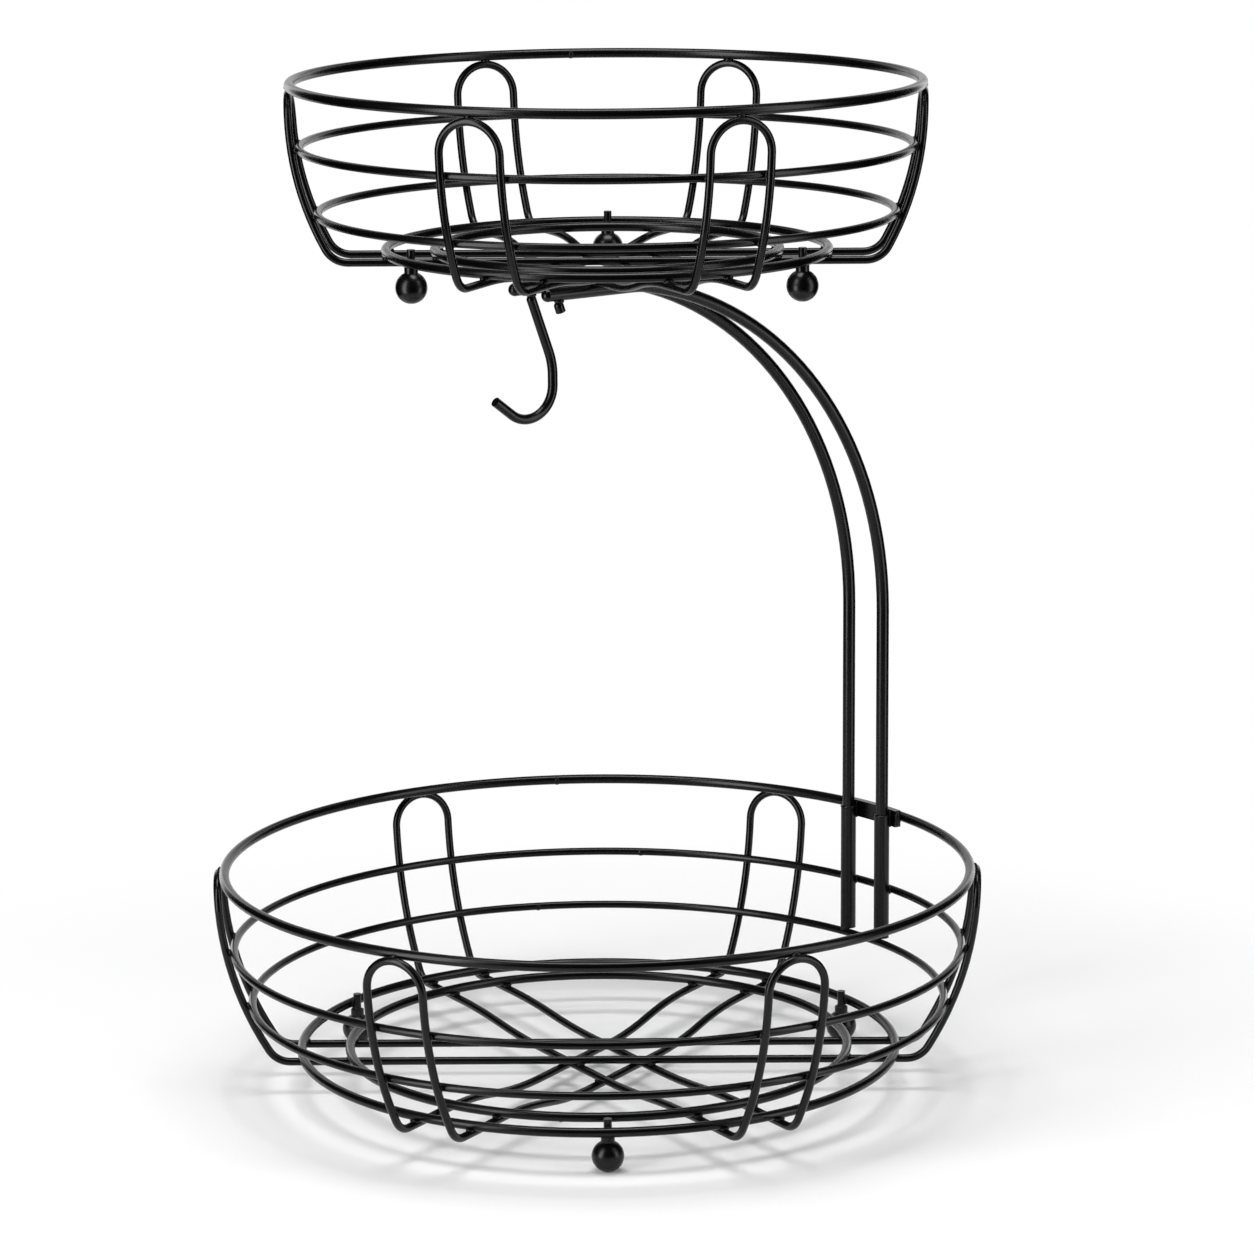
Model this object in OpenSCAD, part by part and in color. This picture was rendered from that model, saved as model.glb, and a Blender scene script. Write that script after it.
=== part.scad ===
// Two tier wire fruit bowl with a banana hook, in black coated steel wire.
// The origin is on the floor under the centre of the lower bowl, +Y points away from the front, +Z is up.

/* [Wires] */
// Diameter of the rim wires
rim_d = 4.0; // [3:0.1:5]
// Diameter of the wires bent into side loops
loop_d = 3.2; // [2.4:0.1:4]
// Diameter of the hoops that run round inside the loops
hoop_d = 3.2; // [2.4:0.1:4]
// Diameter of the rings that stand on the floor wires
base_d = 3.8; // [3:0.1:4.6]
// Diameter of the two arch wires
arch_d = 5.2; // [4:0.1:6]
// Diameter of the hook wire and of the short peg beside it
hook_d = 4.0; // [3:0.1:5]
// Gap that is left at each weld between two wires
weld_gap = 0.05; // [0.04:0.01:0.1]

/* [Side loops] */
// Distance between the two legs of a loop
loop_w = 25; // [20:0.5:28]
// Radius of the bend between side and floor
foot_bend_r = 10; // [8:0.5:14]

/* [Lower bowl] */
// Radius of the lower rim
lower_rim_r = 150.3; // [145:0.5:160]
// Height of the lower rim above the floor wires
lower_depth = 77.7; // [70:0.5:85]
// Radius of the curve of the lower side
lower_side_r = 130; // [115:1:150]
// Outward lean of the lower loops at their crown, in degrees
lower_crown_lean = 4.5; // [2:0.5:6]
// Place of the lower crowns round the rim wire, in degrees under its outer side
lower_crown_turn = 37; // [20:1:60]
// Height of the lower bowl's middle hoop above the floor wires
lower_mid_h = 46.2; // [40:0.5:52]
// Height of the lower bowl's low hoop above the floor wires
lower_low_h = 24.2; // [16:0.1:28]
// Distance of the lower base ring inside the outermost reach of the floor bends
lower_base_in = 14.8; // [8:0.1:22]
// Distance of the lower inner ring inside the base ring
lower_inner_in = 19.5; // [14:0.1:28]
// Angle between one lower loop and the next
lower_loop_step = 60; // [55:1:65]

/* [Upper bowl] */
// Radius of the upper rim
upper_rim_r = 124; // [118:0.5:130]
// Height of the upper rim above the floor wires
upper_depth = 69.2; // [62:0.5:75]
// Radius of the curve of the upper side
upper_side_r = 115; // [100:1:130]
// Outward lean of the upper loops at their crown, in degrees
upper_crown_lean = 3.3; // [1:0.1:5]
// Place of the upper crowns round the rim wire, in degrees under its outer side
upper_crown_turn = 80.5; // [60:0.5:88]
// Height of the upper bowl's middle hoop above the floor wires
upper_mid_h = 44.4; // [38:0.5:48]
// Height of the upper bowl's low hoop above the floor wires
upper_low_h = 18.4; // [14:0.5:24]
// Distance of the upper base ring inside the outermost reach of the floor bends
upper_base_in = 25.2; // [10:0.1:32]
// Distance of the upper inner ring inside the base ring
upper_inner_in = 19.3; // [14:0.1:28]
// Angle between the sideways loop and the next one
upper_loop_step = 66; // [60:1:68]
// Distance of the upper bowl's centre from the lower one's, towards the arch
upper_shift = 7; // [0:0.5:10]

/* [Ball feet] */
// Direction of the lower bowl's front foot, in degrees round from the right
lower_front_turn = 272; // [262:1:278]
// Direction of the lower bowl's back right foot, which the back left one mirrors
lower_back_turn = 30; // [22:1:38]
// Angle of the upper bowl's front feet in front of the sideways line
upper_front_turn = 25; // [20:1:38]
// Diameter of the balls
ball_d = 12.6; // [10:0.2:15]
// Depth of the small flat under a ball
ball_flat = 0.2; // [0.1:0.1:0.6]
// Depth of a ball's centre under its base ring
ball_hang = 10.4; // [8.3:0.1:12]
// Diameter of the peg that joins ball and ring
foot_peg_d = 3.2; // [2.4:0.1:4]
// Height of the peg above the middle of its ring
foot_peg_rise = 4.5; // [3:0.1:6]
// Diameter of the collar on top of a ball
collar_d = 5.4; // [4.4:0.1:6]
// Gap between the collar and the underside of the ring
collar_gap = 0.3; // [0.2:0.05:0.5]

/* [Arch] */
// Direction of the arch, in degrees round from the right
arch_turn = 37.6; // [36:0.1:41]
// Distance between the two arch wires
arch_w = 21.6; // [18:0.1:23]
// Height of the level end of the arch
arch_h = 326.7; // [300:0.1:345]
// Radius of the arch's main bend
arch_bend_r = 149; // [140:1:155]
// Sweep of the arch's main bend, in degrees
arch_bend_sweep = 80; // [76:1:84]
// Radius of the bend that takes the arch on to level
arch_top_bend_r = 40; // [30:1:60]
// Length of the arch past the centre of the lower bowl
arch_tail = 33; // [30:0.5:40]

/* [Sockets and strap] */
// Outer diameter of the tubes that hold the arch
socket_d = 6.4; // [6:0.1:7.5]
// Clearance between an arch wire and its tube, on each side
socket_fit = 0.05; // [0.04:0.01:0.1]
// Height of the tubes above the middle of the rim
socket_rise = 1; // [0:0.2:4]
// Height of an arch wire's end above the low end of its tube
socket_step = 1; // [0.5:0.1:4]
// Height of the strap behind the tubes
strap_h = 7; // [5:0.2:9]
// Depth of the strap's middle under the middle of the rim
strap_drop = 0.2; // [0:0.1:2]
// Length of the strap past each tube
strap_reach = 2; // [1:0.1:4]

/* [Hook and peg] */
// Distance of the hook's top from the lower bowl's centre, away from the arch
hook_back = 22.3; // [18:0.1:28]
// Lean of the hook's upper stretch, in degrees
hook_lean = 21; // [15:0.5:28]
// Length of the hook's upper stretch
hook_top_l = 23; // [18:0.5:30]
// Radius of the bend that takes the hook on to upright
hook_neck_r = 27; // [20:1:35]
// Length of the hook's upright stretch
hook_stem_l = 3.7; // [2:0.1:10]
// Radius of the hook's bowl
hook_bowl_r = 12.6; // [10:0.2:16]
// Sweep of the hook's bowl, in degrees
hook_bowl_sweep = 127; // [100:1:150]
// Length of the hook's straight tip
hook_tip_l = 10; // [6:0.5:16]
// Distance of the short peg from the lower bowl's centre, away from the arch
peg_back = 25; // [20:0.5:30]
// Length of the short peg
peg_l = 4.5; // [3:0.5:12]

/* [Hidden] */

$fn = 24;
ring_fn = 144;
bend_fn = 96;
ball_fn = 48;
coat = [0.06, 0.06, 0.065];

// A wire is built from straight and bent lengths, with a hair's gap and a slightly fuller joint between them
joint_gap = 0.04;
joint_swell = 0.02;

rim_r = rim_d / 2;
loop_r = loop_d / 2;
hoop_r = hoop_d / 2;
base_r = base_d / 2;
arch_r = arch_d / 2;
hook_r = hook_d / 2;
leg_off = loop_w / 2;

// Layers of floor wires, one wire under another
layer_step = loop_d + weld_gap;
flat_margin = 6;
dip_margin = 5;

// Overshoot of a bore past the ends of its tube
bore_over = 1;

// Distance between a rim's middle line and the crown of a loop
crown_reach = rim_r + loop_r + weld_gap;

// Place in a bowl's side section, as distance from its axis and height above its floor wires
function leg_top(rim, depth, turn, lean) = [
    rim + crown_reach * cos(turn) - leg_off * sin(lean),
    depth - crown_reach * sin(turn) - leg_off * cos(lean)
];
function side_centre(rim, depth, turn, side, lean) =
    leg_top(rim, depth, turn, lean) - side * [cos(lean), -sin(lean)];
// Lean of the side where it meets the bend to the floor
function side_end(rim, depth, turn, side, lean) =
    asin((side_centre(rim, depth, turn, side, lean)[1] - foot_bend_r) / (side - foot_bend_r));
// Distance at which the floor wires stop being level
function level_end(rim, depth, turn, side, lean) =
    side_centre(rim, depth, turn, side, lean)[0]
    + (side - foot_bend_r) * cos(side_end(rim, depth, turn, side, lean));
// Radius of a hoop that touches the legs from inside at height h
function hoop_out(rim, depth, turn, side, lean, h) =
    let (c = side_centre(rim, depth, turn, side, lean), reach = side - loop_r - hoop_r - weld_gap)
    norm([c[0] + sqrt(pow(reach, 2) - pow(c[1] - h, 2)), leg_off]);
// Distance from a bowl's axis, along a leg, at which a ring of radius r crosses the leg
function along_leg(r) = sqrt(pow(r, 2) - pow(leg_off, 2));
// Radius of a ring that crosses the legs a given distance inside the outermost reach of the floor bends
function ring_inside(level, inside) = norm([level + foot_bend_r - inside, leg_off]);
// Height of a base ring that rests on the floor wires, or a little way up their bends
function ring_seat(r, level) =
    let (off = loop_r + base_r + weld_gap, past = max(0, along_leg(r) - level))
    foot_bend_r - sqrt(pow(foot_bend_r - off, 2) - pow(past, 2));

// Lower bowl
lower_lean = side_end(lower_rim_r, lower_depth, lower_crown_turn, lower_side_r, lower_crown_lean);
lower_level = level_end(lower_rim_r, lower_depth, lower_crown_turn, lower_side_r, lower_crown_lean);
lower_base_r = ring_inside(lower_level, lower_base_in);
lower_inner_r = lower_base_r - lower_inner_in;
lower_seat = ring_seat(lower_base_r, lower_level);
lower_inner_seat = ring_seat(lower_inner_r, lower_level);
lower_z = ball_d / 2 - ball_flat + ball_hang - lower_seat;
lower_mid_r =
    hoop_out(lower_rim_r, lower_depth, lower_crown_turn, lower_side_r, lower_crown_lean, lower_mid_h);
lower_low_r =
    hoop_out(lower_rim_r, lower_depth, lower_crown_turn, lower_side_r, lower_crown_lean, lower_low_h);
lower_flat = leg_off * (1 + cos(lower_loop_step)) / sin(lower_loop_step) + flat_margin;
lower_dip_end = along_leg(lower_inner_r) - dip_margin;

// Upper bowl
upper_lean = side_end(upper_rim_r, upper_depth, upper_crown_turn, upper_side_r, upper_crown_lean);
upper_level = level_end(upper_rim_r, upper_depth, upper_crown_turn, upper_side_r, upper_crown_lean);
upper_base_r = ring_inside(upper_level, upper_base_in);
upper_inner_r = upper_base_r - upper_inner_in;
upper_seat = ring_seat(upper_base_r, upper_level);
upper_inner_seat = ring_seat(upper_inner_r, upper_level);
upper_z = arch_h + arch_r + weld_gap + loop_r + 2 * layer_step;
upper_mid_r =
    hoop_out(upper_rim_r, upper_depth, upper_crown_turn, upper_side_r, upper_crown_lean, upper_mid_h);
upper_low_r =
    hoop_out(upper_rim_r, upper_depth, upper_crown_turn, upper_side_r, upper_crown_lean, upper_low_h);
upper_gap_step = 180 - 2 * upper_loop_step;
upper_flat = leg_off * (1 + cos(upper_gap_step)) / sin(upper_gap_step) + flat_margin;
upper_dip_end = along_leg(upper_base_r) - dip_margin;

// Arch feet stand in tubes that touch the lower middle hoop from inside
socket_out = lower_mid_r - hoop_r - weld_gap - socket_d / 2;
arch_off = arch_w / 2;
arch_out = sqrt(pow(socket_out, 2) - pow(arch_off, 2));
socket_z = lower_z + lower_low_h + hoop_r + weld_gap;
socket_top = lower_z + lower_depth + socket_rise;
arch_foot_z = socket_z + socket_step;
arch_rise = arch_bend_r * sin(arch_bend_sweep) + arch_top_bend_r * (1 - sin(arch_bend_sweep));
arch_span = arch_bend_r * (1 - cos(arch_bend_sweep)) + arch_top_bend_r * cos(arch_bend_sweep);
hook_z = arch_h - arch_r - weld_gap - hook_r;

// Strap between the tubes and the rim
strap_in = socket_out + socket_d / 2 + weld_gap;
strap_out = lower_rim_r - rim_r - weld_gap;
strap_half = asin((arch_off + socket_d / 2 + strap_reach) / strap_in);
strap_z = lower_z + lower_depth - strap_drop;

module joint(r) {
    sphere(r + joint_swell);
}

// A straight length along +Z, then what follows it
module run(length, r) {
    translate([0, 0, joint_gap]) cylinder(h = length - joint_gap, r = r);
    translate([0, 0, length]) {
        joint(r);
        children();
    }
}

// A bent length that starts along +Z and turns towards +X
module arc(bend, angle, r, end_gap = 0) {
    trim = joint_gap / bend * 180 / PI;
    translate([bend, 0, 0]) mirror([1, 0, 0]) rotate([90, 0, 0]) rotate([0, 0, trim])
        rotate_extrude(angle = angle - trim - end_gap / bend * 180 / PI, $fn = bend_fn)
            translate([bend, 0]) circle(r);
}

// A bent length towards +X, then what follows it
module bend_on(bend, angle, r) {
    arc(bend, angle, r);
    translate([bend, 0, 0]) rotate([0, angle, 0]) translate([-bend, 0, 0]) {
        joint(r);
        children();
    }
}

// A bent length towards -X, then what follows it
module bend_back(bend, angle, r) {
    rotate([0, 0, 180]) bend_on(bend, angle, r) rotate([0, 0, 180]) children();
}

// Rise of a floor wire from its flat middle to the level of the others
module floor_rise(drop, length, r) {
    if (drop > 0) {
        rise_r = (pow(length, 2) + pow(drop, 2)) / (4 * drop);
        rise_a = 2 * atan(drop / length);
        bend_on(rise_r, rise_a, r) bend_back(rise_r, rise_a, r) children();
    }
    else run(length, r) children();
}

// Half a leg pair's wire, from the bowl's axis out along the floor and up the side
module leg(drop, flat, dip_end, level, end_lean, side, crown_lean) {
    translate([0, 0, -drop]) rotate([0, 90, 0]) rotate([0, 0, 180])
        run(flat, loop_r)
        floor_rise(drop, dip_end - flat, loop_r)
        run(level - dip_end, loop_r)
        bend_on(foot_bend_r, 90 - end_lean, loop_r)
        bend_on(side, end_lean - crown_lean, loop_r)
        children();
}

// One closed wire that makes two opposite side loops and crosses the floor between them
module loop_wire(turn, drop, flat, dip_end, level, end_lean, side, crown_lean) {
    rotate([0, 0, turn]) {
        for (half = [0, 180]) rotate([0, 0, half]) {
            translate([0, -leg_off, -drop]) joint(loop_r);
            translate([0, leg_off, 0]) leg(drop, flat, dip_end, level, end_lean, side, crown_lean);
            translate([0, -leg_off, 0]) leg(drop, flat, dip_end, level, end_lean, side, crown_lean)
                rotate([0, 0, -90]) arc(leg_off, 180, loop_r, joint_gap);
        }
    }
}

module lower_loop(turn, layer) {
    color(coat) translate([0, 0, lower_z]) loop_wire(turn, layer * layer_step, lower_flat,
        lower_dip_end, lower_level, lower_lean, lower_side_r, lower_crown_lean);
}

module upper_loop(turn, layer) {
    color(coat) upper_place() loop_wire(turn, layer * layer_step, upper_flat,
        upper_dip_end, upper_level, upper_lean, upper_side_r, upper_crown_lean);
}

// Frame of the upper bowl, on its axis at its floor wires
module upper_place() {
    translate([upper_shift * cos(arch_turn), upper_shift * sin(arch_turn), upper_z]) children();
}

module wire_ring(ring, r) {
    color(coat) rotate_extrude($fn = ring_fn) translate([ring, 0]) circle(r);
}

module lower_ring(ring, h, r) {
    translate([0, 0, lower_z + h]) wire_ring(ring, r);
}

module upper_ring(ring, h, r) {
    upper_place() translate([0, 0, h]) wire_ring(ring, r);
}

// Ball, collar and peg, hung on the inner side of a base ring whose middle is at height 0
module ball_foot(turn, ring) {
    color(coat) rotate([0, 0, turn]) translate([ring - base_r - foot_peg_d / 2 - weld_gap, 0, -ball_hang]) {
        difference() {
            sphere(ball_d / 2, $fn = ball_fn);
            translate([0, 0, -ball_d]) cube([ball_d, ball_d, ball_d + 2 * ball_flat], center = true);
        }
        cylinder(h = ball_hang - base_r - collar_gap, r = collar_d / 2);
        cylinder(h = ball_hang + foot_peg_rise, r = foot_peg_d / 2);
    }
}

module lower_foot(turn) {
    translate([0, 0, lower_z + lower_seat]) ball_foot(turn, lower_base_r);
}

module upper_foot(turn) {
    upper_place() translate([0, 0, upper_seat]) ball_foot(turn, upper_base_r);
}

// Frame of one side of the arch: +X along the arch, the wire's plane at Y = 0
module arch_side(side) {
    rotate([0, 0, arch_turn]) translate([0, side * arch_off, 0]) children();
}

// Upright tube that an arch wire is pushed into
module socket(side) {
    color(coat) arch_side(side) translate([arch_out, 0, socket_z]) difference() {
        cylinder(h = socket_top - socket_z, r = socket_d / 2);
        translate([0, 0, -bore_over])
            cylinder(h = socket_top - socket_z + 2 * bore_over, r = arch_r + socket_fit);
    }
}

// Curved flat strap between the tubes and the rim
module socket_strap() {
    color(coat) rotate([0, 0, arch_turn - strap_half]) translate([0, 0, strap_z - strap_h / 2])
        rotate_extrude(angle = 2 * strap_half, $fn = ring_fn)
            translate([strap_in, 0]) square([strap_out - strap_in, strap_h]);
}

// Arch wire, from its end in the tube up and over to the level end under the upper bowl
module arch_wire(side) {
    color(coat) arch_side(side) translate([arch_out, 0, arch_foot_z]) rotate([0, 0, 180])
        run(arch_h - arch_foot_z - arch_rise, arch_r)
        bend_on(arch_bend_r, arch_bend_sweep, arch_r)
        bend_on(arch_top_bend_r, 90 - arch_bend_sweep, arch_r)
        run(arch_out - arch_span + arch_tail - arch_r, arch_r);
}

// Hook that the bananas hang from, under the far arch wire
module banana_hook() {
    color(coat) arch_side(1) translate([-hook_back, 0, hook_z]) rotate([0, 180 - hook_lean, 0]) {
        joint(hook_r);
        run(hook_top_l, hook_r)
        bend_on(hook_neck_r, hook_lean, hook_r)
        run(hook_stem_l, hook_r)
        bend_on(hook_bowl_r, hook_bowl_sweep, hook_r)
        translate([0, 0, joint_gap]) cylinder(h = hook_tip_l, r = hook_r);
    }
}

// Short cut peg under the near arch wire, beside the hook
module short_peg() {
    color(coat) arch_side(-1) translate([-peg_back, 0, hook_z]) rotate([0, 180 - hook_lean, 0]) {
        sphere(hook_r);
        cylinder(h = peg_l - hook_r, r = hook_r);
    }
}

lower_ring(lower_rim_r, lower_depth, rim_r);  // lower_rim
lower_ring(lower_mid_r, lower_mid_h, hoop_r);  // lower_mid_hoop
lower_ring(lower_low_r, lower_low_h, hoop_r);  // lower_low_hoop
lower_ring(lower_base_r, lower_seat, base_r);  // lower_base_ring
lower_ring(lower_inner_r, lower_inner_seat, base_r);  // lower_inner_ring
lower_loop(0, 0);  // lower_loop_across
lower_loop(lower_loop_step, 2);  // lower_loop_back_right
lower_loop(180 - lower_loop_step, 1);  // lower_loop_back_left
lower_foot(lower_front_turn);  // lower_foot_front
lower_foot(lower_back_turn);  // lower_foot_back_right
lower_foot(180 - lower_back_turn);  // lower_foot_back_left
upper_ring(upper_rim_r, upper_depth, rim_r);  // upper_rim
upper_ring(upper_mid_r, upper_mid_h, hoop_r);  // upper_mid_hoop
upper_ring(upper_low_r, upper_low_h, hoop_r);  // upper_low_hoop
upper_ring(upper_base_r, upper_seat, base_r);  // upper_base_ring
upper_ring(upper_inner_r, upper_inner_seat, base_r);  // upper_inner_ring
upper_loop(0, 0);  // upper_loop_across
upper_loop(upper_loop_step, 1);  // upper_loop_back_right
upper_loop(180 - upper_loop_step, 2);  // upper_loop_back_left
upper_foot(90);  // upper_foot_back
upper_foot(180 + upper_front_turn);  // upper_foot_front_left
upper_foot(-upper_front_turn);  // upper_foot_front_right
socket(1);  // left_socket
socket(-1);  // right_socket
socket_strap();
arch_wire(1);  // left_arch_wire
arch_wire(-1);  // right_arch_wire
banana_hook();
short_peg();
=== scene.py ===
import math
import random

import bmesh
import bpy
from mathutils import Matrix, Vector, noise
from mathutils.bvhtree import BVHTree


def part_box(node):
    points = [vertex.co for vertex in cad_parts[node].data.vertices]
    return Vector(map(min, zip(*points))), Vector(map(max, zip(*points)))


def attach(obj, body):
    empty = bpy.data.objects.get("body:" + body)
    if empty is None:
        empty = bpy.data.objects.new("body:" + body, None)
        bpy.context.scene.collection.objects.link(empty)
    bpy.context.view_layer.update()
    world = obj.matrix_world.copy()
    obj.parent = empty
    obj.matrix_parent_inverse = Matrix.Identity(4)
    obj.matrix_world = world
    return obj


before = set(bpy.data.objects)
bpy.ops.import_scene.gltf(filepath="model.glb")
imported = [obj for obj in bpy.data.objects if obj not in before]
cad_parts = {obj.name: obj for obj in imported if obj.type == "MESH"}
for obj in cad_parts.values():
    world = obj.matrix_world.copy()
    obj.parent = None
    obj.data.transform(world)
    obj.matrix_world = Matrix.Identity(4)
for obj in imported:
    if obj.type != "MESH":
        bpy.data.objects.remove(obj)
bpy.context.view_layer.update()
scene = bpy.context.scene

MM = 0.001
UP = Vector((0, 0, 1))

# The camera at the photograph's viewpoint, in the part's own frame
CAMERA_PLACE = Vector((13.2, -1934.6, 593.0)) * MM
CAMERA_PITCH = math.radians(11.79)
CAMERA_ROLL = math.radians(-0.33)
CAMERA_LENS_MM = 141.9
CAMERA_SENSOR_MM = 36
CAMERA_SHIFT_X = -0.0013

# How the parts are laid out
BOWLS = ("lower", "upper")
RINGS = ("rim", "mid_hoop", "low_hoop", "base_ring", "inner_ring")
LOOP_TURNS = {
    "lower_loop_across": 0,
    "lower_loop_back_right": 60,
    "lower_loop_back_left": 120,
    "upper_loop_across": 0,
    "upper_loop_back_right": 66,
    "upper_loop_back_left": 114,
}
FEET = {
    "lower": ("lower_foot_front", "lower_foot_back_right", "lower_foot_back_left"),
    "upper": ("upper_foot_back", "upper_foot_front_left", "upper_foot_front_right"),
}
ARCH_WIRE = 5.2 * MM
FLOOR_CROSSING_REACH = 36 * MM

# Welds: steps along a wire, how near two wires lie to be welded, and how far the metal spreads
PATH_STEP = 0.5 * MM
WELD_REACH = 0.35 * MM
WELD_APART = 3.5 * MM
WELD_SPREAD = 1.0
WELD_THICK = 0.62
WELD_LUMPS = 0.08

# Where the two ends of each ring were joined, in degrees round from the right
BUTT_TURNS = {"rim": 97, "mid_hoop": 83, "low_hoop": 101, "base_ring": 75, "inner_ring": 262}
BUTT_LENGTH = 1.9 * MM
BUTT_SWELL = 0.08 * MM
BUTT_SINK = 0.15 * MM

# Lumps of weld metal round the stem of a ball foot: how far they are turned, stand out, hang and reach
COLLAR_LUMPS = 7
COLLAR_TURN = 14
COLLAR_OUT = (1.55 * MM, 1.95 * MM)
COLLAR_DROP = (0.5 * MM, 1.5 * MM)
COLLAR_ROUND = (1.2 * MM, 1.7 * MM)
COLLAR_TALL = (0.9 * MM, 1.25 * MM)
COLLAR_THICK = (0.75 * MM, 1.0 * MM)

# The arch wires' level ends, either side of the upper bowl's middle
LEVEL_NEAR = 34 * MM
LEVEL_FAR = 32 * MM

# Spot welds and beads of the tubes and the level ends, as shares of the wire where no unit stands
TUBE_SPOT_IN = 2.2 * MM
TUBE_SPOT_DOWN = 0.2 * MM
TUBE_SPOT_SIZE = 0.6
HOOP_SPOT_SIZE = 0.7
LEVEL_SPOT_SIZE = 0.4
BEAD_OUT = 0.82
BEAD_ASIDE = 0.72
BEAD_SLANT = 0.3
BEAD_START = 0.4 * MM
BEAD_END = 0.9 * MM
BEAD_THICK = 0.6 * MM
BEAD_STEP = 0.7 * MM

# The lip round a tube's mouth: how far it stands past the tube's wall and below its end
LIP_SWELL = 0.22 * MM
LIP_SINK = 0.1 * MM
ARCH_PLAY = 0.05 * MM

# Rounded weld over each end of the strap: turn from the tube to the strap's end, and how the metal lies
STRAP_END_TURN = math.radians(1.95)
STRAP_MIDDLE = 146.9 * MM
STRAP_CAP = (1.0 * MM, 3.35 * MM, 1.5 * MM)

random.seed(7)


def middle(node):
    """Middle of a CAD node's box."""
    low, high = (Vector(c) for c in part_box(node))
    return (low + high) / 2


def size(node):
    """Edges of a CAD node's box."""
    low, high = (Vector(c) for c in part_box(node))
    return high - low


def surface_tree(node):
    """Search tree over a CAD node's surface."""
    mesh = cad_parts[node].data
    points = [v.co.copy() for v in mesh.vertices]
    faces = [tuple(p.vertices) for p in mesh.polygons]
    return BVHTree.FromPolygons(points, faces)


trees = {node: surface_tree(node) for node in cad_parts}


def turned(degrees):
    """Level direction at an angle round from the right."""
    return Vector((math.cos(math.radians(degrees)), math.sin(math.radians(degrees)), 0))


def ring_path(node):
    """Middle line of a ring and its wire's radius, from its box."""
    centre, span = middle(node), size(node)
    ring = (span.x - span.z) / 2
    count = round(math.tau * ring / PATH_STEP)
    return [centre + ring * turned(360 * i / count) for i in range(count)], span.z / 2


def straight_path(start, end):
    """Points along a straight wire's middle line."""
    count = max(2, round((end - start).length / PATH_STEP))
    return [start.lerp(end, i / count) for i in range(count + 1)]


def neighbours(i, count, closed):
    """Places on a path within a weld's distance of one of them."""
    span = round(WELD_APART / PATH_STEP)
    if closed:
        return [(i + k) % count for k in range(-span, span + 1)]
    return [min(max(i + k, 0), count - 1) for k in range(-span, span + 1)]


def touches(path, thick, nodes, closed=False):
    """Where a wire lies near enough to other nodes to be welded: place, direction to it, wire's run."""
    found = []
    count = len(path)
    for node in nodes:
        hits = [trees[node].find_nearest(p) for p in path]
        gaps = [hit[3] - thick for hit in hits]
        for i, gap in enumerate(gaps):
            near = neighbours(i, count, closed)
            if gap > WELD_REACH or min(near, key=lambda k: gaps[k]) != i:
                continue
            aim = (hits[i][0] - path[i]).normalized()
            along = (path[(i + 1) % count] - path[i - 1]).normalized()
            found.append((path[i] + aim * (thick + gap / 2), aim, along))
    return found


def frame_at(place, aim, along):
    """Axes with Z along aim and X along a wire's run, at a place."""
    z = aim.normalized()
    x = (along - along.dot(z) * z).normalized()
    y = z.cross(x)
    return Matrix.Translation(place) @ Matrix((x, y, z)).transposed().to_4x4()


def lump(bm, axes, half_sizes, roughness=WELD_LUMPS, detail=2):
    """A blob of weld metal with uneven skin."""
    made = bmesh.ops.create_icosphere(bm, subdivisions=detail, radius=1)["verts"]
    shift = Vector((random.uniform(0, 50), random.uniform(0, 50), random.uniform(0, 50)))
    for v in made:
        v.co *= 1 + roughness * noise.noise(v.co * 1.4 + shift)
    bmesh.ops.scale(bm, vec=half_sizes, verts=made)
    bmesh.ops.transform(bm, matrix=axes, verts=made)


def finish_piece(bm, name, material):
    """Makes a bmesh a smooth shaded object of the black coated steel."""
    bmesh.ops.recalc_face_normals(bm, faces=bm.faces)
    mesh = bpy.data.meshes.new(name)
    bm.to_mesh(mesh)
    bm.free()
    for polygon in mesh.polygons:
        polygon.use_smooth = True
    piece = bpy.data.objects.new(name, mesh)
    scene.collection.objects.link(piece)
    piece.data.materials.append(material)
    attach(piece, "root")
    return piece


# Finish

def group_socket(group, name, kind, way, value=None):
    """Adds a named input or output to a shader node group."""
    socket = group.interface.new_socket(name, in_out=way, socket_type=kind)
    if value is not None:
        socket.default_value = value


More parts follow.
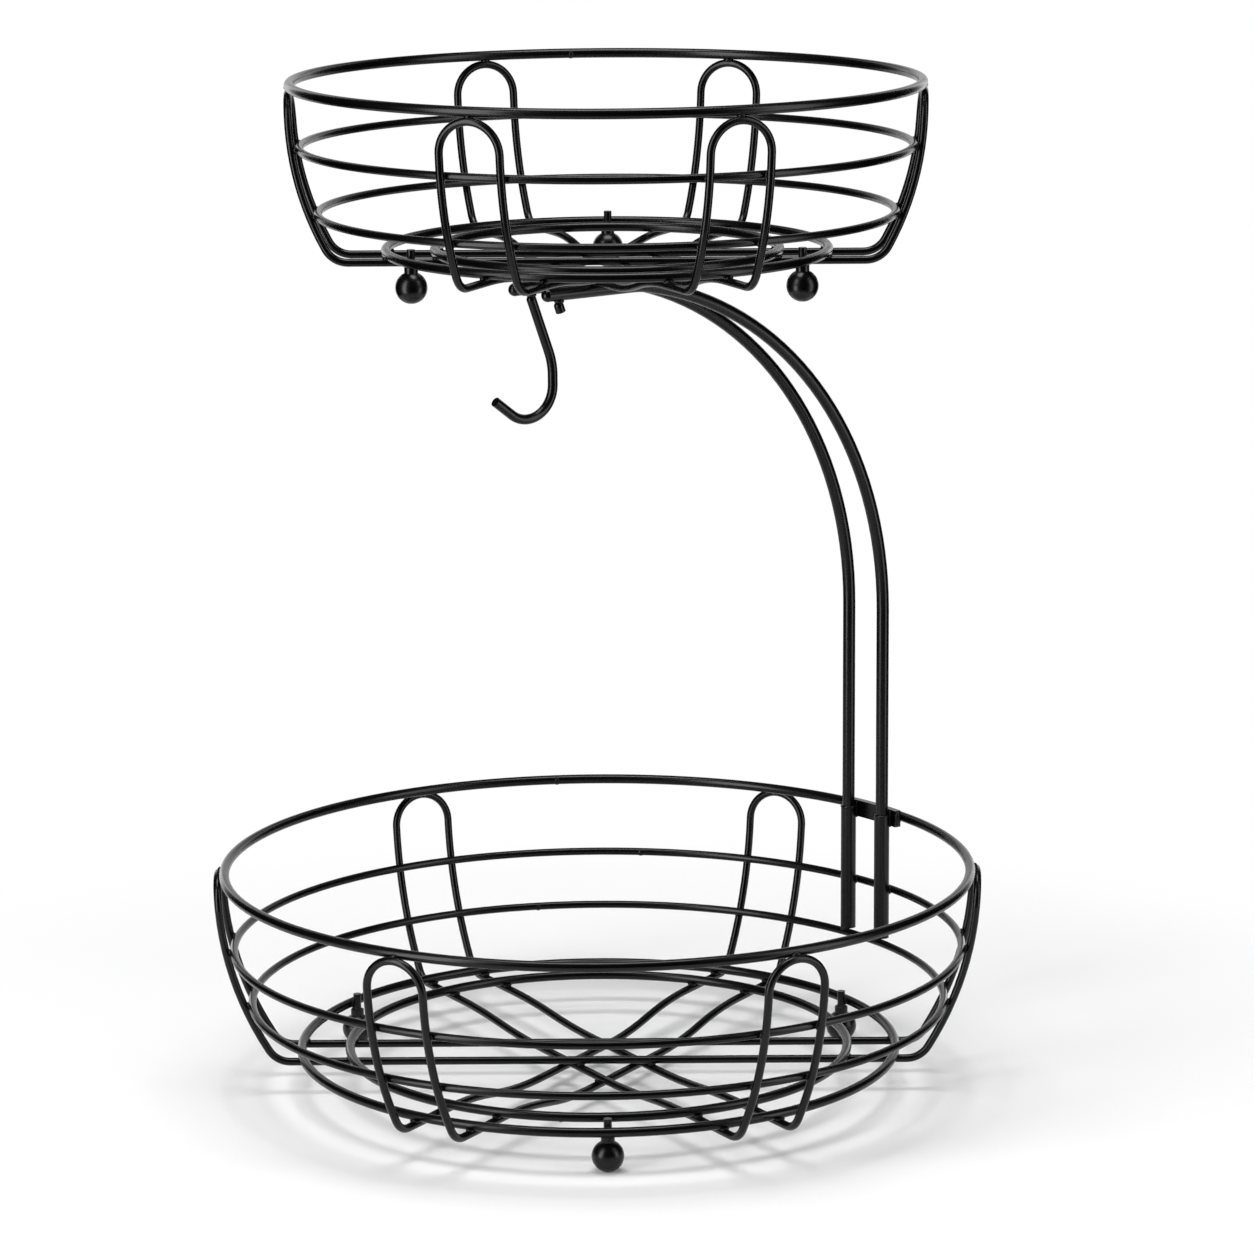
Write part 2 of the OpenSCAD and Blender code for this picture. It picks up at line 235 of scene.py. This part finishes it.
def make_powder_skin():
    """Node group for the skin of a powder coat: orange peel height, slight roughness and tone changes."""
    group = bpy.data.node_groups.new("powder_skin", "ShaderNodeTree")
    group_socket(group, "Vector", "NodeSocketVector", "INPUT")
    group_socket(group, "Peel Scale", "NodeSocketFloat", "INPUT", 900.0)
    group_socket(group, "Lump Scale", "NodeSocketFloat", "INPUT", 160.0)
    group_socket(group, "Lump Share", "NodeSocketFloat", "INPUT", 0.4)
    group_socket(group, "Roughness Low", "NodeSocketFloat", "INPUT", 0.3)
    group_socket(group, "Roughness High", "NodeSocketFloat", "INPUT", 0.4)
    group_socket(group, "Height", "NodeSocketFloat", "OUTPUT")
    group_socket(group, "Roughness", "NodeSocketFloat", "OUTPUT")
    group_socket(group, "Tone", "NodeSocketFloat", "OUTPUT")
    nodes, links = group.nodes, group.links
    inlet = nodes.new("NodeGroupInput")
    outlet = nodes.new("NodeGroupOutput")

    peel = nodes.new("ShaderNodeTexNoise")
    peel.inputs["Detail"].default_value = 2.0
    lumps = nodes.new("ShaderNodeTexNoise")
    lumps.inputs["Detail"].default_value = 3.0
    patches = nodes.new("ShaderNodeTexNoise")
    patches.inputs["Scale"].default_value = 38.0
    patches.inputs["Detail"].default_value = 4.0
    for texture in (peel, lumps, patches):
        links.new(inlet.outputs["Vector"], texture.inputs["Vector"])
    links.new(inlet.outputs["Peel Scale"], peel.inputs["Scale"])
    links.new(inlet.outputs["Lump Scale"], lumps.inputs["Scale"])

    height = nodes.new("ShaderNodeMix")
    links.new(inlet.outputs["Lump Share"], height.inputs["Factor"])
    links.new(peel.outputs["Fac"], height.inputs["A"])
    links.new(lumps.outputs["Fac"], height.inputs["B"])
    links.new(height.outputs["Result"], outlet.inputs["Height"])

    rough = nodes.new("ShaderNodeMapRange")
    rough.inputs["From Min"].default_value = 0.3
    rough.inputs["From Max"].default_value = 0.7
    links.new(patches.outputs["Fac"], rough.inputs["Value"])
    links.new(inlet.outputs["Roughness Low"], rough.inputs["To Min"])
    links.new(inlet.outputs["Roughness High"], rough.inputs["To Max"])
    links.new(rough.outputs["Result"], outlet.inputs["Roughness"])
    links.new(patches.outputs["Fac"], outlet.inputs["Tone"])
    return group


def make_upper_bloom():
    """Node group for a painted sheen: a paler colour on faces that look up, where the overhead light
    falls, broken by noise.
    """
    group = bpy.data.node_groups.new("upper_bloom", "ShaderNodeTree")
    group_socket(group, "Vector", "NodeSocketVector", "INPUT")
    group_socket(group, "Normal", "NodeSocketVector", "INPUT")
    group_socket(group, "Mask", "NodeSocketFloat", "OUTPUT")
    nodes, links = group.nodes, group.links
    inlet = nodes.new("NodeGroupInput")
    outlet = nodes.new("NodeGroupOutput")
    parts = nodes.new("ShaderNodeSeparateXYZ")
    links.new(inlet.outputs["Normal"], parts.inputs["Vector"])
    upward = nodes.new("ShaderNodeMapRange")
    upward.interpolation_type = "SMOOTHSTEP"
    upward.inputs["From Min"].default_value = 0.2
    upward.inputs["From Max"].default_value = 1.0
    links.new(parts.outputs["Z"], upward.inputs["Value"])
    specks = nodes.new("ShaderNodeTexNoise")
    specks.inputs["Scale"].default_value = 420.0
    specks.inputs["Detail"].default_value = 5.0
    links.new(inlet.outputs["Vector"], specks.inputs["Vector"])
    product = nodes.new("ShaderNodeMath")
    product.operation = "MULTIPLY"
    links.new(upward.outputs["Result"], product.inputs[0])
    links.new(specks.outputs["Fac"], product.inputs[1])
    links.new(product.outputs["Value"], outlet.inputs["Mask"])
    return group


POWDER_SKIN = make_powder_skin()
PAINTED_TOP_SHEEN = make_upper_bloom()

COAT_DARK = (0.0007, 0.0007, 0.00075, 1)
COAT_PALE = (0.0016, 0.0016, 0.0017, 1)
# Painted sheen: a paler coat colour laid on faces that look up, standing in for the overhead light's grey
# highlight
COAT_PAINTED_SHEEN = (0.004, 0.004, 0.0043, 1)
COAT_SPECULAR = 0.27


def coat_material(name, rough_low, rough_high,
                  peel_scale=900.0, lump_scale=160.0, lump_share=0.35, relief=0.007):
    """Satin black powder coat. Relief is the height of its orange peel in millimetres."""
    material = bpy.data.materials.new(name)
    material.use_nodes = True
    nodes, links = material.node_tree.nodes, material.node_tree.links
    shader = nodes["Principled BSDF"]
    shader.inputs["Specular IOR Level"].default_value = COAT_SPECULAR
    place = nodes.new("ShaderNodeTexCoord")
    surface = nodes.new("ShaderNodeNewGeometry")

    skin = nodes.new("ShaderNodeGroup")
    skin.node_tree = POWDER_SKIN
    skin.inputs["Peel Scale"].default_value = peel_scale
    skin.inputs["Lump Scale"].default_value = lump_scale
    skin.inputs["Lump Share"].default_value = lump_share
    skin.inputs["Roughness Low"].default_value = rough_low
    skin.inputs["Roughness High"].default_value = rough_high
    links.new(place.outputs["Object"], skin.inputs["Vector"])

    # Mask of the painted sheen: faces that look up get the paler colour, as if lit from above
    bloom = nodes.new("ShaderNodeGroup")
    bloom.node_tree = PAINTED_TOP_SHEEN
    links.new(place.outputs["Object"], bloom.inputs["Vector"])
    links.new(surface.outputs["Normal"], bloom.inputs["Normal"])

    tone = nodes.new("ShaderNodeMix")
    tone.data_type = "RGBA"
    tone.inputs["A"].default_value = COAT_DARK
    tone.inputs["B"].default_value = COAT_PALE
    links.new(skin.outputs["Tone"], tone.inputs["Factor"])
    colour = nodes.new("ShaderNodeMix")
    colour.data_type = "RGBA"
    colour.inputs["B"].default_value = COAT_PAINTED_SHEEN
    links.new(bloom.outputs["Mask"], colour.inputs["Factor"])
    links.new(tone.outputs["Result"], colour.inputs["A"])
    links.new(colour.outputs["Result"], shader.inputs["Base Color"])
    links.new(skin.outputs["Roughness"], shader.inputs["Roughness"])

    bump = nodes.new("ShaderNodeBump")
    bump.inputs["Strength"].default_value = 1.0
    bump.inputs["Distance"].default_value = relief * MM
    links.new(skin.outputs["Height"], bump.inputs["Height"])
    links.new(bump.outputs["Normal"], shader.inputs["Normal"])
    return material


wire_coat = coat_material("wire_coat", 0.23, 0.28)
tube_coat = coat_material("tube_coat", 0.22, 0.28, lump_scale=220.0)
ball_coat = coat_material("ball_coat", 0.26, 0.3, peel_scale=520.0, lump_share=0.2)
weld_coat = coat_material("weld_coat", 0.32, 0.42, lump_scale=700.0, lump_share=0.7, relief=0.04)

for node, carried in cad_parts.items():
    if "_foot_" in node:
        coat = ball_coat
    elif "socket" in node:
        coat = tube_coat
    else:
        coat = wire_coat
    carried.data.materials.clear()
    carried.data.materials.append(coat)


# Welds

def spot_welds(bm, found, wire):
    """Blobs at the places that touches() found, for wires of that radius."""
    for place, aim, along in found:
        spread = WELD_SPREAD * wire * random.uniform(0.92, 1.1)
        lump(bm, frame_at(place, aim, along), (spread, spread, WELD_THICK * wire))


def floor_lines(node):
    """The two middle lines of a loop wire's flat floor stretch, and the wire's radius."""
    across = node.split("_loop_")[0] + "_loop_across"
    centre = middle(across)
    thick = size(node.split("_loop_")[0] + "_mid_hoop").z / 2
    off = size(across).y / 2 - thick
    centre.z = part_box(node)[0][2] + thick
    run = turned(LOOP_TURNS[node])
    side = UP.cross(run)
    lines = []
    for way in (-1, 1):
        mid = centre + way * off * side
        lines.append(straight_path(mid - FLOOR_CROSSING_REACH * run, mid + FLOOR_CROSSING_REACH * run))
    return lines, thick


def butt_weld(bm, node, degrees):
    """The slight swelling where a ring's two ends were joined and ground."""
    centre, span = middle(node), size(node)
    thick = span.z / 2
    out = turned(degrees)
    place = centre + (span.x / 2 - thick) * out - BUTT_SINK * (UP + out)
    axes = frame_at(place, UP, UP.cross(out))
    lump(bm, axes, (BUTT_LENGTH, thick + BUTT_SWELL, thick + BUTT_SWELL), roughness=0.02, detail=3)


def bowl_welds(bowl):
    """All welds of one bowl."""
    bm = bmesh.new()
    loops = [node for node in LOOP_TURNS if node.startswith(bowl)]
    for ring in RINGS:
        node = f"{bowl}_{ring}"
        path, thick = ring_path(node)
        spot_welds(bm, touches(path, thick, loops + list(FEET[bowl]), closed=True), thick)
        butt_weld(bm, node, BUTT_TURNS[ring])
    for node in loops:
        lines, thick = floor_lines(node)
        below = [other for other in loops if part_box(other)[0][2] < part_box(node)[0][2]]
        for line in lines:
            spot_welds(bm, touches(line, thick, below), thick)
    return finish_piece(bm, f"{bowl}_welds", weld_coat)


def foot_collars():
    """Rough weld collar round each ball's stem, under its ring."""
    bm = bmesh.new()
    for bowl, feet in FEET.items():
        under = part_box(f"{bowl}_base_ring")[0][2]
        for foot in feet:
            stem = middle(foot)
            for k in range(COLLAR_LUMPS):
                out = turned(360 * k / COLLAR_LUMPS + random.uniform(-COLLAR_TURN, COLLAR_TURN))
                place = Vector((stem.x, stem.y, under)) + random.uniform(*COLLAR_OUT) * out
                place.z -= random.uniform(*COLLAR_DROP)
                half = [random.uniform(*span) for span in (COLLAR_ROUND, COLLAR_TALL, COLLAR_THICK)]
                lump(bm, frame_at(place, out, UP.cross(out)), half, roughness=0.3)
    return finish_piece(bm, "foot_collars", weld_coat)


def tube_line(node):
    """Upright middle line of a tube and its radius."""
    centre, span = middle(node), size(node)
    low, high = centre.copy(), centre.copy()
    low.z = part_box(node)[0][2]
    high.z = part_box(node)[1][2]
    return low, high, span.x / 2


def arch_level_lines():
    """Level stretch of each arch wire's middle line under the upper bowl."""
    run = middle("left_socket") + middle("right_socket")
    run.z = 0
    run.normalize()
    side = UP.cross(run)
    lines = []
    for node, way in (("left_arch_wire", 1), ("right_arch_wire", -1)):
        tube = middle(node.replace("arch_wire", "socket"))
        off = way * abs(tube.dot(side))
        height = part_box(node)[1][2] - ARCH_WIRE / 2
        start = off * side + LEVEL_NEAR * run
        end = off * side - LEVEL_FAR * run
        start.z = end.z = height
        lines.append(straight_path(start, end))
    return lines


def bead(bm, start, end, out, thick):
    """A weld run: overlapping ripples from start to end, on the side that out points to."""
    count = max(2, round((end - start).length / BEAD_STEP))
    along = (end - start).normalized()
    for i in range(count + 1):
        place = start.lerp(end, i / count)
        half = thick * random.uniform(0.88, 1.08)
        lump(bm, frame_at(place, out, along), (BEAD_STEP * 1.05, half, half * 0.8), roughness=0.12)


def strap_caps(bm):
    """Rounded weld metal over each end of the strap, where it runs into the rim."""
    height = middle("socket_strap").z
    for node, way in (("left_socket", 1), ("right_socket", -1)):
        tube = middle(node)
        turn = math.atan2(tube.y, tube.x) + way * STRAP_END_TURN
        out = Vector((math.cos(turn), math.sin(turn), 0))
        place = height * UP + STRAP_MIDDLE * out
        lump(bm, frame_at(place, out, UP.cross(out)), STRAP_CAP, roughness=0.06, detail=3)


def arch_welds():
    """Welds of the arch: tubes, strap, hook and peg, and the wires that carry the upper bowl."""
    bm = bmesh.new()
    upper_loops = [node for node in LOOP_TURNS if node.startswith("upper")]
    for line in arch_level_lines():
        found = touches(line, ARCH_WIRE / 2, upper_loops + ["banana_hook", "short_peg"])
        spot_welds(bm, found, ARCH_WIRE * LEVEL_SPOT_SIZE)
    for node in ("left_socket", "right_socket"):
        low, high, thick = tube_line(node)
        path = straight_path(low, high)
        spot_welds(bm, touches(path, thick, ["lower_mid_hoop"]), thick * HOOP_SPOT_SIZE)
        stand = Vector((low.x, low.y, 0))
        out = stand.normalized()
        side = UP.cross(out)
        under = low - TUBE_SPOT_DOWN * UP - TUBE_SPOT_IN * out
        spot_welds(bm, [(under, UP, side)], thick * TUBE_SPOT_SIZE)
        strap_low, strap_high = (corner[2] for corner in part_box("socket_strap"))
        for way in (-1, 1):
            base = stand + thick * BEAD_OUT * out + way * thick * BEAD_ASIDE * side
            start = base + (strap_low + BEAD_START) * UP
            end = base + (strap_high - BEAD_END) * UP
            bead(bm, start, end, (way * side + BEAD_SLANT * out).normalized(), BEAD_THICK)
    strap_caps(bm)
    return finish_piece(bm, "arch_welds", weld_coat)


def tube_lips():
    """Rounded lip at the mouth of each tube."""
    bm = bmesh.new()
    for node in ("left_socket", "right_socket"):
        low, high, thick = tube_line(node)
        inner = ARCH_WIRE / 2 + ARCH_PLAY
        lip = (thick - inner) / 2 + LIP_SWELL
        ring = (thick + inner) / 2
        made = bmesh.ops.create_circle(bm, segments=12, radius=lip)["verts"]
        turn = Matrix.Rotation(math.pi / 2, 4, "X")
        axes = Matrix.Translation(Vector((high.x + ring, high.y, high.z - LIP_SINK))) @ turn
        bmesh.ops.transform(bm, matrix=axes, verts=made)
        edges = list({e for v in made for e in v.link_edges})
        bmesh.ops.spin(bm, geom=edges + made, cent=high, axis=UP, angle=math.tau, steps=40, use_merge=True)
    bmesh.ops.remove_doubles(bm, verts=bm.verts, dist=0.001 * MM)
    return finish_piece(bm, "tube_lips", tube_coat)


for bowl in BOWLS:
    bowl_welds(bowl)
foot_collars()
arch_welds()
tube_lips()


# Studio

# The paper: a disc that stays small, so that upright wires mirror the room past its edge
FLOOR_RADIUS = 0.5
PAPER_COLOUR = (0.93, 0.93, 0.93, 1)
# Share of plain white near the bowl, and where the paper's own shade runs out to white
WHITE_NEAR = 0.05
SHADE_INNER = 0.24
SHADE_OUTER = 0.42


def math_node(nodes, links, operation, first, second):
    """A Math node fed by two sockets or numbers."""
    node = nodes.new("ShaderNodeMath")
    node.operation = operation
    for socket, value in zip(node.inputs, (first, second)):
        if isinstance(value, (int, float)):
            socket.default_value = value
        else:
            links.new(value, socket)
    return node.outputs["Value"]


def smooth_step(nodes, links, value, start, end, low=0.0, high=1.0):
    """A value mapped smoothly from low at start to high at end."""
    node = nodes.new("ShaderNodeMapRange")
    node.interpolation_type = "SMOOTHSTEP"
    node.inputs["From Min"].default_value = start
    node.inputs["From Max"].default_value = end
    node.inputs["To Min"].default_value = low
    node.inputs["To Max"].default_value = high
    links.new(value, node.inputs["Value"])
    return node.outputs["Result"]


def mirrored_rays(nodes, links):
    """Light Path's outputs, and a mask of the rays that show the background in metal and glass."""
    rays = nodes.new("ShaderNodeLightPath").outputs
    return rays, math_node(nodes, links, "MAXIMUM", rays["Is Glossy Ray"], rays["Is Transmission Ray"])


def floor_material():
    """White paper that keeps the shadow near the bowl and runs out to plain white."""
    material = bpy.data.materials.new("floor_paper")
    material.use_nodes = True
    nodes, links = material.node_tree.nodes, material.node_tree.links
    nodes.clear()
    out = nodes.new("ShaderNodeOutputMaterial")
    place = nodes.new("ShaderNodeTexCoord")
    reach = nodes.new("ShaderNodeVectorMath")
    reach.operation = "LENGTH"
    links.new(place.outputs["Object"], reach.inputs[0])
    fade = smooth_step(nodes, links, reach.outputs["Value"], SHADE_INNER, SHADE_OUTER, low=WHITE_NEAR)
    paper = nodes.new("ShaderNodeBsdfDiffuse")
    paper.inputs["Color"].default_value = PAPER_COLOUR
    white = nodes.new("ShaderNodeEmission")
    rays, mirrored = mirrored_rays(nodes, links)
    shown = math_node(nodes, links, "MAXIMUM", rays["Is Camera Ray"], mirrored)
    share = math_node(nodes, links, "MULTIPLY", fade, shown)
    mix = nodes.new("ShaderNodeMixShader")
    links.new(share, mix.inputs["Fac"])
    links.new(paper.outputs["BSDF"], mix.inputs[1])
    links.new(white.outputs["Emission"], mix.inputs[2])
    links.new(mix.outputs["Shader"], out.inputs["Surface"])
    return material


def make_floor():
    """The paper that the bowl stands on."""
    bm = bmesh.new()
    bmesh.ops.create_circle(bm, cap_ends=True, segments=96, radius=FLOOR_RADIUS)
    mesh = bpy.data.meshes.new("floor")
    bm.to_mesh(mesh)
    bm.free()
    floor = bpy.data.objects.new("floor", mesh)
    scene.collection.objects.link(floor)
    mesh.materials.append(floor_material())


# The room: its light on the bowl, its look in the coat, and the white sweep behind the bowl
ROOM_DIFFUSE = 0.08
ROOM_GLOSSY = 0.005
SWEEP_EDGE = 0.80
SWEEP_FULL = 0.97

# Foot and top of the upright softboxes
SIDE_BOX_FOOT = -0.4
SIDE_BOX_TOP = 1.7


def make_world():
    """White to the camera, and a dim room with white paper behind the bowl for everything else."""
    world = bpy.data.worlds.new("studio")
    scene.world = world
    world.use_nodes = True
    nodes, links = world.node_tree.nodes, world.node_tree.links
    nodes.clear()
    out = nodes.new("ShaderNodeOutputWorld")
    light = nodes.new("ShaderNodeBackground")
    light.inputs["Color"].default_value = (1, 1, 1, 1)
    place = nodes.new("ShaderNodeTexCoord")
    parts = nodes.new("ShaderNodeSeparateXYZ")
    links.new(place.outputs["Generated"], parts.inputs["Vector"])
    sweep = smooth_step(nodes, links, parts.outputs["Y"], SWEEP_EDGE, SWEEP_FULL, low=ROOM_GLOSSY)
    rays, mirrored = mirrored_rays(nodes, links)
    glossy = math_node(nodes, links, "MULTIPLY", sweep, mirrored)
    unlit = math_node(nodes, links, "SUBTRACT", 1.0, mirrored)
    diffuse = math_node(nodes, links, "MULTIPLY", unlit, ROOM_DIFFUSE)
    both = math_node(nodes, links, "ADD", glossy, diffuse)
    strength = math_node(nodes, links, "MAXIMUM", both, rays["Is Camera Ray"])
    links.new(strength, light.inputs["Strength"])
    links.new(light.outputs["Background"], out.inputs["Surface"])


def soft_light(name, place, aim, width, height, power):
    """A large rectangular softbox that the camera doesn't see."""
    lamp = bpy.data.lights.new(name, "AREA")
    lamp.shape = "RECTANGLE"
    lamp.size = width
    lamp.size_y = height
    lamp.energy = power
    light = bpy.data.objects.new(name, lamp)
    scene.collection.objects.link(light)
    light.location = place
    light.rotation_euler = (aim - place).to_track_quat("-Z", "Y").to_euler()
    light.visible_camera = False


def side_light(name, turn, distance, width, power):
    """An upright softbox that reaches below the floor's edge, at an angle round from the camera's side."""
    across = distance * math.sin(math.radians(turn))
    near = distance * math.cos(math.radians(turn))
    height = (SIDE_BOX_TOP + SIDE_BOX_FOOT) / 2
    tall = SIDE_BOX_TOP - SIDE_BOX_FOOT
    soft_light(name, Vector((across, -near, height)), height * UP, width, tall, power)


def make_lights():
    """Two softboxes beside the camera, two weak ones behind the bowl and one overhead."""
    side_light("left_box", -50, 1.25, 0.52, 24)
    side_light("right_box", 66, 1.25, 0.5, 11)
    side_light("back_left_box", -152, 1.6, 0.35, 3)
    side_light("back_right_box", 152, 1.6, 0.35, 3)
    soft_light("top_box", Vector((0, -0.02, 1.75)), Vector((0, -0.02, 0.2)), 1.0, 0.7, 19)


def make_camera():
    """The camera at the photograph's viewpoint."""
    data = bpy.data.cameras.new("camera")
    data.lens = CAMERA_LENS_MM
    data.sensor_width = CAMERA_SENSOR_MM
    data.shift_x = CAMERA_SHIFT_X
    data.clip_end = 30
    camera = bpy.data.objects.new("camera", data)
    scene.collection.objects.link(camera)
    tilt = Matrix.Rotation(math.pi / 2 - CAMERA_PITCH, 4, "X") @ Matrix.Rotation(CAMERA_ROLL, 4, "Z")
    camera.matrix_world = Matrix.Translation(CAMERA_PLACE) @ tilt
    scene.camera = camera


make_floor()
make_world()
make_lights()
make_camera()
scene.view_settings.view_transform = "Standard"
